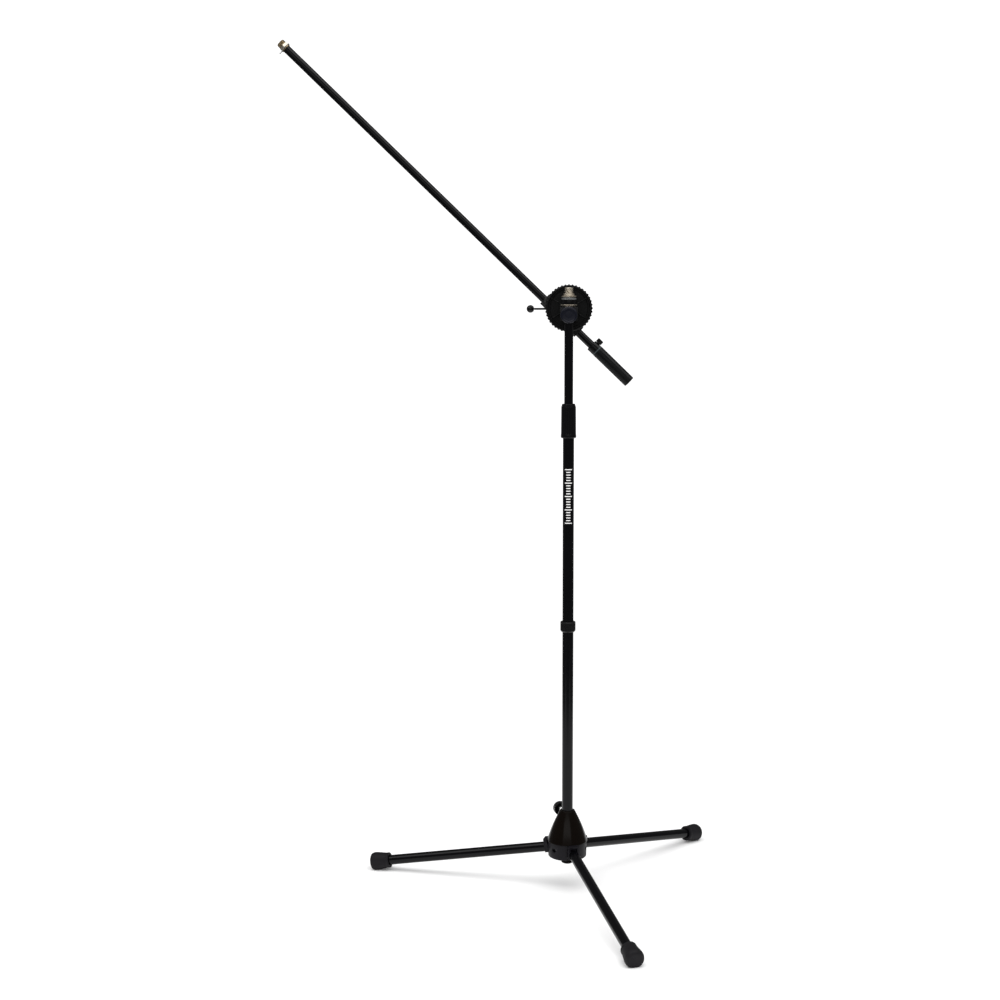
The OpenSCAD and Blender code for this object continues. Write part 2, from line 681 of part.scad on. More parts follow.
// Lock washer with one bent tab on the boom's lower side.
module tip_washer() color([0.75, 0.75, 0.76]) at_boom() translate([0, 0, boom_reach + tip_flange_t]) {
    difference() {
        union() {
            cylinder(h = tip_washer_t, r = tip_washer_r);
            translate([-tab_end, -tab_w / 2, 0]) cube([tab_end - tip_washer_r + 1, tab_w, tip_washer_t]);
            translate([-tab_end, -tab_w / 2, 0]) cube([tip_washer_t, tab_w, tab_h]);
        }
        translate([0, 0, -1]) cylinder(h = far, r = stud_bore_r);
    }
}

module tip_nut() color([0.82, 0.8, 0.74]) at_boom()
    translate([0, 0, boom_reach + tip_flange_t + tip_washer_t]) difference() {
        cylinder(h = tip_nut_t, r = tip_nut_af / 2 / cos(30), $fn = 6);
        translate([0, 0, -1]) cylinder(h = tip_nut_t + 2, r = stud_root_r);
    }

// ---- counterweight ----

module weight_core() color([0.3, 0.3, 0.32]) at_boom() difference() {
    translate([0, 0, weight_end + 1]) cylinder(h = weight_len - weight_collar_len - 1, r = weight_core_r);
    translate([0, 0, weight_end + weight_floor]) cylinder(h = weight_len, r = boom_bore_r);
}

module weight_sleeve() color([0.06, 0.06, 0.065]) at_boom() difference() {
    rotate_extrude() polygon([
        [0, weight_end], [weight_r - 1.1, weight_end], [weight_r - 0.2, weight_end + 0.9],
        [weight_r, weight_top - weight_collar_len - weight_band_len],
        [0, weight_top - weight_collar_len - weight_band_len],
    ]);
    translate([0, 0, weight_end + 1]) cylinder(h = weight_len, r = weight_core_r);
}

module weight_band() color([0.4, 0.44, 0.46]) at_boom()
    tube(weight_r - 0.3, weight_core_r,
         weight_top - weight_collar_len - weight_band_len, weight_top - weight_collar_len);

module weight_collar() color([0.05, 0.05, 0.055]) at_boom() difference() {
    rotate_extrude() polygon([
        [boom_bore_r, weight_top - weight_collar_len], [weight_collar_r, weight_top - weight_collar_len],
        [weight_collar_r, weight_top - 1], [weight_collar_r - 1, weight_top], [boom_bore_r, weight_top],
    ]);
    translate([0, 0, weight_screw_s]) rotate([0, 90, 0]) cylinder(h = far, r = m6_r + running);
}

module weight_screw() color([0.06, 0.06, 0.065]) at_boom() translate([0, 0, weight_screw_s])
    rotate([0, 90, 0]) {
        translate([0, 0, boom_r + 0.3]) cylinder(h = weight_collar_r - boom_r + 1, r = m6_r);
        translate([0, 0, weight_collar_r + 0.4]) cylinder(h = weight_screw_head, r = weight_screw_r);
    }

// ---- assembly ----

hub_body();
hub_cone();
hub_lock_pad();
leg_pivot_bolts();
hub_lock_knob();
hub_lock_screw();
leg_hinge(FRONT);  // leg_front_hinge
leg_hinge(LEFT);  // leg_left_hinge
leg_hinge(RIGHT);  // leg_right_hinge
leg_tube(FRONT);  // leg_front_tube
leg_tube(LEFT);  // leg_left_tube
leg_tube(RIGHT);  // leg_right_tube
foot(FRONT);  // foot_front
foot(LEFT);  // foot_left
foot(RIGHT);  // foot_right
mast_foot_plug();
mast_lower_tube();
mast_middle_tube();
mast_joint_collar();
clutch_body();
clutch_collet();
clutch_grip();
guide_bush();
upper_tube();
head_stud();
head_bracket();
head_plate();
head_spacer();
head_lock_washer();
head_washer();
head_nut();
head_lock_knob();
head_lock_screw();
tilt_stud();
tilt_spacer();
tilt_washer();
tilt_nut();
tilt_wheel();
tilt_wheel_insert();
tilt_friction_disc();
boom_clamp();
clamp_bushes();
clamp_pad();
lever_screw();
lever_rod();
lever_ball();
boom_tube();
tip_stud();
tip_washer();
tip_nut();
weight_core();
weight_sleeve();
weight_band();
weight_collar();
weight_screw();
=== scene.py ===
"""Looks of the boom microphone stand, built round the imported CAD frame. Sizes here are in millimetres."""

import json
import math

import bmesh
import bpy
from mathutils import Matrix, Vector


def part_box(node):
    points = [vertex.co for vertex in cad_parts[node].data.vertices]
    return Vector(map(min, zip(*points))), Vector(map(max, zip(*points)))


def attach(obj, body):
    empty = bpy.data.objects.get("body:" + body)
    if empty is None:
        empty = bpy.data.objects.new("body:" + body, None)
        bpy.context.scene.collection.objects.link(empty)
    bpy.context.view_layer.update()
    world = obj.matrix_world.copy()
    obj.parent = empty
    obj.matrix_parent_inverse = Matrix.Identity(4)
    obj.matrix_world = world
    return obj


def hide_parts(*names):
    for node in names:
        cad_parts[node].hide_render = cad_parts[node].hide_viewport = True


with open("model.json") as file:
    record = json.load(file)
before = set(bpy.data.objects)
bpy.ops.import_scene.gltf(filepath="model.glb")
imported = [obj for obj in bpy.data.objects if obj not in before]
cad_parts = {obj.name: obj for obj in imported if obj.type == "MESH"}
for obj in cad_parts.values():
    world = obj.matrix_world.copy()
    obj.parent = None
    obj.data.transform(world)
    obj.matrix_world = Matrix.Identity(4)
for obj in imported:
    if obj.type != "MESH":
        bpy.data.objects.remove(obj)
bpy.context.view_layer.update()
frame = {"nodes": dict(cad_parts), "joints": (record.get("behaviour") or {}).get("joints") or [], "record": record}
NODES = frame["nodes"]
RECORD = frame["record"]
MM = 0.001
TAU = 2 * math.pi
INCH = 25.4
STUD_R = INCH * 5 / 16            # the standard 5/8 inch microphone thread
STUD_PITCH = INCH / 27
ARC_STEPS = 4                     # straight parts in a rounded corner of an outline

# ---------------------------------------------------------------- places, from the frame


def joint(name):
    """The frame's entry for a joint, with its place, axis and range."""
    return next(j for j in frame["joints"] if j["name"] == name)


def frame_at(origin, z_axis, x_hint):
    """A matrix from local millimetres to the row frame, with local +Z along z_axis and +X near x_hint."""
    z = Vector(z_axis).normalized()
    x = Vector(x_hint)
    x = (x - x.dot(z) * z).normalized()
    y = z.cross(x)
    turn = Matrix((x, y, z)).transposed().to_4x4()
    return Matrix.Translation(Vector(origin)) @ turn @ Matrix.Scale(MM, 4)


def extent(node, place):
    """Lowest z, highest z and largest radius of a CAD node, in the millimetres of a local frame."""
    inverse = place.inverted()
    points = [inverse @ v.co for v in NODES[node].data.vertices]
    heights = [p.z for p in points]
    return min(heights), max(heights), max(math.hypot(p.x, p.y) for p in points)


UP = Vector((0, 0, 1))
BACK = Vector((0, 1, 0))
MAST = frame_at((0, 0, 0), UP, (1, 0, 0))
TILT_AT = Vector(joint("boom_tilt")["pos_m"])
TILT = frame_at((0, 0, TILT_AT.z), BACK, (1, 0, 0))
BOOM_AXIS = Vector(joint("boom_slide")["axis"]).normalized()
BOOM_SIDE = BACK.cross(BOOM_AXIS).normalized()
BOOM_OFFSET = 20
BOOM = frame_at(TILT_AT - BOOM_OFFSET * MM * BOOM_SIDE, BOOM_AXIS, BOOM_SIDE)
HEAD_KNOB = frame_at((0, 0, joint("head_lock_turn")["pos_m"][2]), -BACK, (1, 0, 0))
HUB_LOCK = frame_at(joint("hub_lock_turn")["pos_m"], joint("hub_lock_turn")["axis"], UP)
LEGS = ("front", "left", "right")


def leg_frame(side):
    """+Z runs out along the leg from its pivot, and +X is upwards."""
    pivot = Vector(joint(f"leg_{side}_fold")["pos_m"])
    low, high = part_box(f"leg_{side}_tube")
    return frame_at(pivot, (low + high) / 2 - pivot, UP)


# ---------------------------------------------------------------- mesh building


def outline(points, closed=True):
    """Turns (r, z) or (r, z, round) corners into a point list, with an arc of that radius at each round."""
    made = []
    count = len(points)
    for i, corner in enumerate(points):
        here = Vector(corner[:2])
        size = corner[2] if len(corner) > 2 else 0
        ends = not closed and i in (0, count - 1)
        if not size or ends:
            made.append(here)
            continue
        a = Vector(points[i - 1][:2]) - here
        b = Vector(points[(i + 1) % count][:2]) - here
        half = a.angle(b) / 2
        cut = min(size / math.tan(half), a.length * 0.49, b.length * 0.49)
        start, end = here + a.normalized() * cut, here + b.normalized() * cut
        for k in range(ARC_STEPS + 1):
            t = k / ARC_STEPS
            made.append((1 - t) ** 2 * start + 2 * t * (1 - t) * here + t * t * end)
    return made


def stepped(points, step, closed=True):
    """Splits the stretches of an outline that are longer than step."""
    made = []
    count = len(points)
    for i in range(count if closed else count - 1):
        a, b = points[i], points[(i + 1) % count]
        parts = max(1, math.ceil((b - a).length / step))
        made += [a.lerp(b, k / parts) for k in range(parts)]
    if not closed:
        made.append(points[-1])
    return made


def add_lathe(bm, points, segments, shape=None, closed=True, place=None):
    """Revolves an outline about Z. shape(angle, r, z) may move a point. One on the axis becomes a pole."""
    rings = []
    for r, z in points:
        if r < 1e-6:
            rings.append([bm.verts.new((0, 0, z))])
            continue
        ring = []
        for k in range(segments):
            angle = TAU * k / segments
            rr, zz = shape(angle, r, z) if shape else (r, z)
            ring.append(bm.verts.new((rr * math.cos(angle), rr * math.sin(angle), zz)))
        rings.append(ring)
    pairs = list(zip(rings, rings[1:] + ([rings[0]] if closed else [])))
    for a, b in pairs:
        if len(a) == 1 and len(b) == 1:
            continue
        for k in range(segments):
            n = (k + 1) % segments
            quad = [a[k % len(a)], a[n % len(a)], b[n % len(b)], b[k % len(b)]]
            unique = list(dict.fromkeys(quad))
            if len(unique) > 2:
                bm.faces.new(unique)
    if place is not None:
        bmesh.ops.transform(bm, matrix=place, verts=[v for ring in rings for v in ring])


def add_block(bm, size, place, bevel):
    """A box with rounded edges, as one closed shell."""
    made = bmesh.ops.create_cube(bm, size=1, matrix=place @ Matrix.Diagonal((*size, 1)))
    edges = list({e for v in made["verts"] for e in v.link_edges})
    bmesh.ops.bevel(bm, geom=edges, offset=bevel, segments=2, profile=0.5, affect="EDGES")


def piece(name, bm, place, body, node_names, slot, crease=32):
    """Makes an object from a mesh in a local frame, which stands for CAD nodes and rides on a body."""
    bmesh.ops.recalc_face_normals(bm, faces=bm.faces)
    bmesh.ops.transform(bm, matrix=place, verts=bm.verts)
    mesh = bpy.data.meshes.new(name)
    bm.to_mesh(mesh)
    bm.free()
    mesh.shade_smooth()
    mesh.set_sharp_from_angle(angle=math.radians(crease))
    made = bpy.data.objects.new(name, mesh)
    bpy.context.scene.collection.objects.link(made)
    mesh.materials.append(finish(slot, place))
    if node_names:
        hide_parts(*node_names)
    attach(made, body)
    return made


def turned(name, points, place, body, cad_node, slot, segments=96, shape=None, closed=True, step=None,
           crease=32):
    """One lathe-turned piece that stands for one CAD node."""
    if step:
        points = stepped(points, step, closed)
    bm = bmesh.new()
    add_lathe(bm, points, segments, shape, closed)
    return piece(name, bm, place, body, [cad_node], slot, crease)


def softened(name, cad_node, body, slot, width):
    """The CAD node's own shape, with its sharp edges rounded over."""
    crease = 32
    bm = bmesh.new()
    bm.from_mesh(NODES[cad_node].data)
    bmesh.ops.transform(bm, matrix=Matrix.Scale(1 / MM, 4), verts=bm.verts)
    bmesh.ops.remove_doubles(bm, verts=bm.verts, dist=0.002)
    bmesh.ops.dissolve_limit(bm, angle_limit=math.radians(1), verts=bm.verts, edges=bm.edges)
    sharp = [e for e in bm.edges if len(e.link_faces) == 2 and e.calc_face_angle(0) > math.radians(crease)]
    bmesh.ops.bevel(bm, geom=sharp, offset=width, segments=2, profile=0.6, affect="EDGES",
                    clamp_overlap=True, harden_normals=False)
    bmesh.ops.triangulate(bm, faces=[f for f in bm.faces if len(f.verts) > 4])
    return piece(name, bm, Matrix.Scale(MM, 4), body, [cad_node], slot, crease)


# ---------------------------------------------------------------- surface patterns


def fade(z, low, high, run):
    """0 outside low to high, 1 inside, easing over a run at both ends."""
    t = max(0.0, min(1.0, (z - low) / run, (high - z) / run))
    return t * t * (3 - 2 * t)


def flutes(count, depth, low, high, run, least_r, power=1.0):
    """Grooves along the axis, on the outer wall only."""
    def shape(angle, r, z):
        if r < least_r:
            return r, z
        dip = (0.5 - 0.5 * math.cos(count * angle)) ** power
        return r - depth * dip * fade(z, low, high, run), z
    return shape


def screw_thread(pitch, depth, low, high, least_r):
    """A helical groove on the outer wall."""
    def shape(angle, r, z):
        if r < least_r:
            return r, z
        phase = (z / pitch - angle / TAU) % 1
        return r - depth * abs(2 * phase - 1) * fade(z, low, high, pitch), z
    return shape


def off_flat(angle):
    """The angle from the middle of the nearest of six flats."""
    return (angle + TAU / 12) % (TAU / 6) - TAU / 12


def hexagon(across_flats):
    """Cuts a round blank down to six flats."""
    def shape(angle, r, z):
        return min(r, across_flats / 2 / math.cos(off_flat(angle))), z
    return shape


# ---------------------------------------------------------------- materials


def node(tree, kind, **settings):
    """A shader node, with settings for its sockets or its properties."""
    made = tree.nodes.new(kind)
    for key, value in settings.items():
        if key in made.inputs:
            made.inputs[key].default_value = value
        else:
            setattr(made, key, value)
    return made


def ramp(tree, source, low, high, start=0.35, end=0.65):
    """Maps a noise to a range of values."""
    made = node(tree, "ShaderNodeMapRange")
    made.inputs["From Min"].default_value = start
    made.inputs["From Max"].default_value = end
    made.inputs["To Min"].default_value = low
    made.inputs["To Max"].default_value = high
    tree.links.new(source, made.inputs["Value"])
    return made.outputs["Result"]


def mixed(tree, factor, a, b):
    """Blends two colours by a factor."""
    made = node(tree, "ShaderNodeMix", data_type="RGBA")
    for socket, value in ((made.inputs[6], a), (made.inputs[7], b)):
        if isinstance(value, bpy.types.NodeSocket):
            tree.links.new(value, socket)
        else:
            socket.default_value = (*value, 1)
    tree.links.new(factor, made.inputs[0])
    return made.outputs[2]


def noise(tree, where, scale, detail=4.0, roughness=0.55):
    """A noise whose scale is in features to the millimetre."""
    made = node(tree, "ShaderNodeTexNoise", Scale=scale, Detail=detail, Roughness=roughness)
    tree.links.new(where, made.inputs["Vector"])
    return made.outputs["Fac"]


def stretched(tree, where, scale, turn=(0, 0, 0)):
    """Coordinates scaled along each axis, and turned."""
    made = node(tree, "ShaderNodeMapping", vector_type="POINT")
    made.inputs["Scale"].default_value = scale
    made.inputs["Rotation"].default_value = turn
    tree.links.new(where, made.inputs["Vector"])
    return made.outputs["Vector"]


def bumped(tree, shader, heights):
    """Chains bumps of (height, distance in mm, strength) into the shader's normal."""
    last = None
    for height, distance, strength in heights:
        made = node(tree, "ShaderNodeBump", Strength=strength, Distance=distance * MM)
        tree.links.new(height, made.inputs["Height"])
        if last is not None:
            tree.links.new(last, made.inputs["Normal"])
        last = made.outputs["Normal"]
    tree.links.new(last, shader.inputs["Normal"])


def surface(name, colour, other, roughness, grain, metallic=0.0, coat=0.0, specular=0.5,
            edge_wear_and_highlight=None, scratches=0.0, turning=0.0, place=None):
    """One finish. grain is (size in mm, depth in mm) of its fine texture, other its colour's second tone.

    The edge colour is rubbed wear on convex edges, and on the tilt wheel also a painted highlight on its lit ribs.
    scratches is the depth of fine scratches in mm, turning the depth of lathe marks in mm. place is the frame
    whose Z axis the marks follow.
    """
    material = bpy.data.materials.new(name)
    material.use_nodes = True
    tree = material.node_tree
    shader = tree.nodes["Principled BSDF"]
    shader.inputs["Metallic"].default_value = metallic
    shader.inputs["Coat Weight"].default_value = coat
    shader.inputs["Coat Roughness"].default_value = 0.12
    shader.inputs["Specular IOR Level"].default_value = specular
    turn = place.to_3x3().normalized().inverted().to_euler() if place else (0, 0, 0)
    where = stretched(tree, node(tree, "ShaderNodeTexCoord").outputs["Object"], (1 / MM,) * 3, turn)
    blotch = noise(tree, where, 0.045, 5)
    fine = noise(tree, where, 1 / grain[0], 3)
    smudge = noise(tree, where, 0.018, 2, 0.7)
    tone = mixed(tree, ramp(tree, blotch, 0, 1), colour, other)
    # lighter colour on convex edges: rubbed wear, and on the tilt wheel also a painted highlight on the lit rib
    # edges
    if edge_wear_and_highlight:
        edge = node(tree, "ShaderNodeNewGeometry").outputs["Pointiness"]
        edge_wear_and_highlight_mask = node(tree, "ShaderNodeMath", operation="MULTIPLY")
        tree.links.new(ramp(tree, edge, 0, 1, 0.53, 0.62), edge_wear_and_highlight_mask.inputs[0])
        tree.links.new(ramp(tree, noise(tree, where, 0.35), 0, 1, 0.5, 0.62), edge_wear_and_highlight_mask.inputs[1])
        tone = mixed(tree, edge_wear_and_highlight_mask.outputs[0], tone, edge_wear_and_highlight)
    tree.links.new(tone, shader.inputs["Base Color"])
    gloss = node(tree, "ShaderNodeMath", operation="ADD")
    tree.links.new(ramp(tree, smudge, roughness[0], roughness[1]), gloss.inputs[0])
    tree.links.new(ramp(tree, fine, -0.015, 0.015), gloss.inputs[1])
    tree.links.new(gloss.outputs[0], shader.inputs["Roughness"])
    heights = [(fine, grain[1], 0.6)]
    if scratches:
        lines = noise(tree, stretched(tree, where, (1, 1, 0.03)), 1.6, 2, 0.4)
        heights.append((ramp(tree, lines, 0, 1, 0.66, 0.72), scratches, 0.5))
    if turning:
        rings = noise(tree, stretched(tree, where, (0.02, 0.02, 1)), 3.5, 3, 0.5)
        heights.append((rings, turning, 0.5))
    bumped(tree, shader, heights)
    return material


# Colour, second tone, roughness range and texture of each slot of the record.
FINISHES = {
    "black_paint": dict(colour=(0.0014, 0.0014, 0.0019), other=(0.0018, 0.0018, 0.0023),
                        roughness=(0.15, 0.19), grain=(1.6, 0.0015), specular=0.17,
                        scratches=0.0015),
    "satin_plastic": dict(colour=(0.0032, 0.0026, 0.0046), other=(0.0038, 0.0032, 0.0054),
                          roughness=(0.4, 0.48), grain=(0.5, 0.006), specular=0.15,
                          edge_wear_and_highlight=(0.03, 0.028, 0.033)),
    "gloss_plastic": dict(colour=(0.0026, 0.0016, 0.001), other=(0.0032, 0.002, 0.0013),
                          roughness=(0.13, 0.18), grain=(1.6, 0.002), specular=0.13,
                          scratches=0.001),
    "grip_plastic": dict(colour=(0.0016, 0.0016, 0.0019), other=(0.002, 0.002, 0.0023),
                         roughness=(0.2, 0.28), grain=(0.5, 0.005), specular=0.2,
                         edge_wear_and_highlight=(0.02, 0.02, 0.022)),
    "collar_plastic": dict(colour=(0.003, 0.003, 0.0034), other=(0.0036, 0.0036, 0.004),
                           roughness=(0.22, 0.32), grain=(0.5, 0.005), specular=0.22,
                           edge_wear_and_highlight=(0.025, 0.025, 0.027)),
    "knob_plastic": dict(colour=(0.0026, 0.0032, 0.008), other=(0.0034, 0.004, 0.0098),
                         roughness=(0.3, 0.4), grain=(0.5, 0.006), specular=0.22,
                         edge_wear_and_highlight=(0.03, 0.033, 0.05)),
    # the wheel's edge colour is partly rubbed wear and partly a painted highlight on its lit rib edges
    "wheel_plastic": dict(colour=(0.0018, 0.0018, 0.002), other=(0.0024, 0.0024, 0.0026),
                          roughness=(0.26, 0.36), grain=(0.5, 0.006), specular=0.18,
                          edge_wear_and_highlight=(0.03, 0.03, 0.03)),
    "ball_plastic": dict(colour=(0.0024, 0.0024, 0.0028), other=(0.003, 0.003, 0.0034),
                         roughness=(0.08, 0.14), grain=(2.2, 0.002), specular=0.3, scratches=0.002),
    "weight_plastic": dict(colour=(0.0024, 0.0027, 0.0031), other=(0.0031, 0.0034, 0.0039),
                           roughness=(0.3, 0.4), grain=(0.5, 0.006), specular=0.15, scratches=0.002,
                           edge_wear_and_highlight=(0.02, 0.022, 0.024)),
    "band_plastic": dict(colour=(0.024, 0.034, 0.038), other=(0.03, 0.041, 0.046),
                         roughness=(0.35, 0.46), grain=(0.5, 0.005), specular=0.3),
    "bush_plastic": dict(colour=(0.66, 0.64, 0.57), other=(0.58, 0.56, 0.49),
                         roughness=(0.42, 0.55), grain=(0.5, 0.01)),
    "foot_rubber": dict(colour=(0.0058, 0.0052, 0.0068), other=(0.007, 0.0064, 0.0082),
                        roughness=(0.6, 0.72), grain=(0.6, 0.012), specular=0.2,
                        edge_wear_and_highlight=(0.035, 0.034, 0.036)),
    "cast_black": dict(colour=(0.003, 0.003, 0.0035), other=(0.004, 0.004, 0.0045),
                       roughness=(0.28, 0.38), grain=(0.8, 0.012), specular=0.2,
                       edge_wear_and_highlight=(0.04, 0.039, 0.038)),
    "black_steel": dict(colour=(0.0028, 0.0028, 0.0031), other=(0.0036, 0.0036, 0.0039),
                        roughness=(0.2, 0.3), grain=(0.5, 0.004), specular=0.3, turning=0.003,
                        edge_wear_and_highlight=(0.06, 0.06, 0.06)),
    "nickel": dict(colour=(0.52, 0.48, 0.41), other=(0.45, 0.39, 0.3), roughness=(0.22, 0.34),
                   grain=(0.5, 0.002), metallic=0.9, turning=0.003, scratches=0.002),
    "zinc_steel": dict(colour=(0.46, 0.47, 0.47), other=(0.37, 0.38, 0.38), roughness=(0.3, 0.44),
                       grain=(0.5, 0.004), metallic=0.9, turning=0.004, scratches=0.003),
    "bright_screw": dict(colour=(0.8, 0.8, 0.8), other=(0.7, 0.7, 0.69), roughness=(0.2, 0.34),
                         grain=(0.5, 0.004), metallic=0.9, scratches=0.003),
    "brass": dict(colour=(0.34, 0.27, 0.17), other=(0.22, 0.165, 0.095), roughness=(0.22, 0.34),
                  grain=(0.5, 0.004), metallic=0.95, turning=0.004),
    "weight_steel": dict(colour=(0.2, 0.2, 0.21), other=(0.14, 0.13, 0.13), roughness=(0.35, 0.55),
                         grain=(0.4, 0.01), metallic=1.0, turning=0.012),
    "fibre": dict(colour=(0.085, 0.045, 0.03), other=(0.12, 0.07, 0.045), roughness=(0.7, 0.88),
                  grain=(0.25, 0.03), specular=0.25),
}
SLOT_OF = {s["node"]: s["material_slot"] for s in RECORD["subparts"]}
MADE = {}


def finish(slot, place):
    """The slot's material, with its marks turned to follow the Z axis of place."""
    axis = tuple(round(v, 2) for v in place.col[2].to_3d().normalized())
    if (slot, axis) not in MADE:
        MADE[slot, axis] = surface(slot, place=place, **FINISHES[slot])
    return MADE[slot, axis]


def print_white():
    """Screen-printed ink, slightly uneven."""
    return surface("print_white", colour=(0.92, 0.92, 0.9), other=(0.84, 0.84, 0.83), roughness=(0.42, 0.6),
                   grain=(0.35, 0.01))


def paint_cad():
    """Gives every CAD node its finish, with the marks along its tube where it is one."""
    along = {f"leg_{side}_tube": leg_frame(side) for side in LEGS}
    along.update({name: BOOM for name in ("boom_tube", "weight_core", "weight_band", "clamp_bushes")})
    along.update({name: TILT for name in NODES if name.startswith("tilt_")})
    for name, part in NODES.items():
        part.data.materials.clear()
        part.data.materials.append(finish(SLOT_OF[name], along.get(name, MAST)))
        part.data.shade_smooth()
        part.data.set_sharp_from_angle(angle=math.radians(30))


# ---------------------------------------------------------------- base


def hub_cone():
    """The cone cover: a bulging wall, a rounded top lip and an open foot."""
    z0, z1, r0 = extent("hub_cone", MAST)
    inner = extent("mast_lower_tube", MAST)[2] + 0.3
    top_r, bulge, wall, lip = 13.8, 1.8, 2.2, 1.4
    steps = 40

    def wall_r(t):
        return r0 + (top_r - r0) * t + bulge * math.sin(math.pi * t)
    outside = [(wall_r(k / steps), z0 + (z1 - z0) * k / steps) for k in range(1, steps)]
    inside = [(r - wall, z) for r, z in reversed(outside[:-4])]
    corners = ([(r0, z0, 0.4)] + outside + [(top_r, z1, lip), (inner, z1, 0.3), (inner, z1 - 3, 0.2)]
               + inside + [(r0 - wall, z0, 0.2)])
    turned("hub_cone_cover", outline(corners), MAST, "hub", "hub_cone", "gloss_plastic", segments=160)


def pivot_bolts():
    """Socket-head bolts through the leg eyes, with a six-sided socket."""
    bm = bmesh.new()
    head_r, shank_r, head_len, half = 3.6, 2.5, 3.5, 24
    socket_r, socket_deep = 1.5, 1.7
    corners = outline([
        (0, -half), (shank_r - 0.4, -half, 0.2), (shank_r, -half + 0.5, 0.2), (shank_r, half - head_len),
        (head_r, half - head_len, 0.2), (head_r, half, 0.5), (socket_r, half, 0.15),
        (socket_r, half - socket_deep, 0.1), (0, half - socket_deep),
    ], closed=False)

    def socket(angle, r, z):
        flat = socket_r * 0.9 / math.cos(off_flat(angle))
        return (min(r, flat), z) if r <= socket_r + 0.01 and z > 0 else (r, z)
    for side in LEGS:
        fold = joint(f"leg_{side}_fold")
        add_lathe(bm, corners, 48, socket, closed=False,
                  place=frame_at(fold["pos_m"], fold["axis"], UP))
    piece("pivot_bolts", bm, Matrix.Identity(4), "hub", ["leg_pivot_bolts"], "black_steel")


def hub_knob():
    """A fluted knob, hollow behind its face, with a boss round its screw."""
    z0, z1, r = extent("hub_lock_knob", HUB_LOCK)
    skirt, floor, boss = 2.6, 6, 7
    hole = 4.05
    corners = outline([
        (hole, z0 + 1, 0.2), (boss, z0 + 1, 0.5), (boss, z0 + floor, 0.6), (r - skirt, z0 + floor, 0.8),
        (r - skirt, z0, 0.4), (r, z0, 0.8), (r, z1 - 1, 1.6), (r - 2.4, z1, 1.2),
        (r - 4.6, z1, 0.5), (r - 5.4, z1 - 0.7, 0.5), (0, z1 - 0.7),
    ], closed=False)
    bm = bmesh.new()
    add_lathe(bm, stepped(corners, 1.4, False), 144,
              flutes(18, 0.7, z0 + 0.8, z1 - 1.2, 2, r - 1.2, 2), closed=False)
    add_lathe(bm, outline([(hole, z0 + 1), (hole, z1 - 3), (0, z1 - 3)], closed=False), 48, closed=False)
    bmesh.ops.remove_doubles(bm, verts=bm.verts, dist=0.001)
    piece("hub_knob_shell", bm, HUB_LOCK, "hub_knob", ["hub_lock_knob"], "grip_plastic")


def threaded_rod(name, place, body, cad_node, slot, pitch, depth):
    """A screw's thread over its whole length, with a chamfer at each end."""
    tip = 0.6
    z0, z1, r = extent(cad_node, place)
    corners = outline([(0, z0), (r - tip, z0), (r, z0 + tip), (r, z1 - tip), (r - tip, z1), (0, z1)],
                      closed=False)
    corners = stepped(corners, pitch / 5, False)
    turned(name, corners, place, body, cad_node, slot, 40,
           screw_thread(pitch, depth, z0, z1, r - 0.05), False, crease=60)


def foot(side):
    """A moulded rubber foot: a rolled mouth, a ring, a barrel and a domed end, cut flat where it stands."""
    place = leg_frame(side)
    z0, z1, r1 = extent(f"foot_{side}", place)
    tube_r = extent(f"leg_{side}_tube", place)[2]
    mouth, waist = 14.8, 14.4
    corners = outline([
        (0, z1 - 6), (tube_r, z1 - 6, 0.2), (tube_r, z0 + 1, 0.5), (tube_r + 0.6, z0, 0.5),
        (mouth, z0, 1.0), (mouth, z0 + 4, 0.8), (waist, z0 + 4.9, 0.8), (r1 - 0.1, z1 - 12, 14),
        (r1, z1 - 7, 3),
        (r1 - 1.7, z1 - 2, 4), (r1 - 5, z1 - 0.3, 2.5), (r1 - 9, z1, 1.5), (0, z1),
    ], closed=False)
    bm = bmesh.new()
    add_lathe(bm, stepped(corners, 1.2, False), 128, closed=False, place=place)
    for v in bm.verts:
        v.co.z = max(v.co.z, 0)
    piece(f"foot_{side}_rubber", bm, Matrix.Identity(4), f"leg_{side}", [f"foot_{side}"], "foot_rubber",
          crease=40)


def foot_plug():
    """The plug that closes the foot of the mast, with a dished flange."""
    z0, z1, _ = extent("mast_foot_plug", MAST)
    inner = extent("mast_lower_tube", MAST)[2] - 1.2
    flange, neck, thick = 11.3, 7.4, 3.0
    seat = extent("mast_lower_tube", MAST)[0]
    corners = outline([
        (0, z0 + 0.4), (4, z0 + 0.4, 1), (5, z0, 0.6), (flange - 1.4, z0, 1.0), (flange, z0 + 1.3, 1.2),
        (flange, z0 + thick, 0.6), (neck, z0 + thick + 1, 0.6), (neck, seat, 0.2), (inner, seat),
        (inner, z1, 0.4), (0, z1),
    ], closed=False)
    turned("foot_plug", corners, MAST, "mast", "mast_foot_plug", "gloss_plastic", closed=False)


# ---------------------------------------------------------------- mast


def joint_collar():
    """The fluted collar where the lower and middle tubes meet."""
    z0, z1, r = extent("mast_joint_collar", MAST)
    inner = extent("mast_lower_tube", MAST)[2]
    corners = outline([
        (inner, z0), (r - 2.2, z0, 0.5), (r, z0 + 2.6, 0.8), (r, z1 - 0.8, 0.5), (r - 0.9, z1, 0.4),
        (inner, z1),
    ])
    turned("joint_collar", corners, MAST, "mast", "mast_joint_collar", "collar_plastic", 192,
           flutes(24, 0.45, z0 + 1.6, z1 - 0.4, 1.6, r - 1.6, 3), step=1.0)


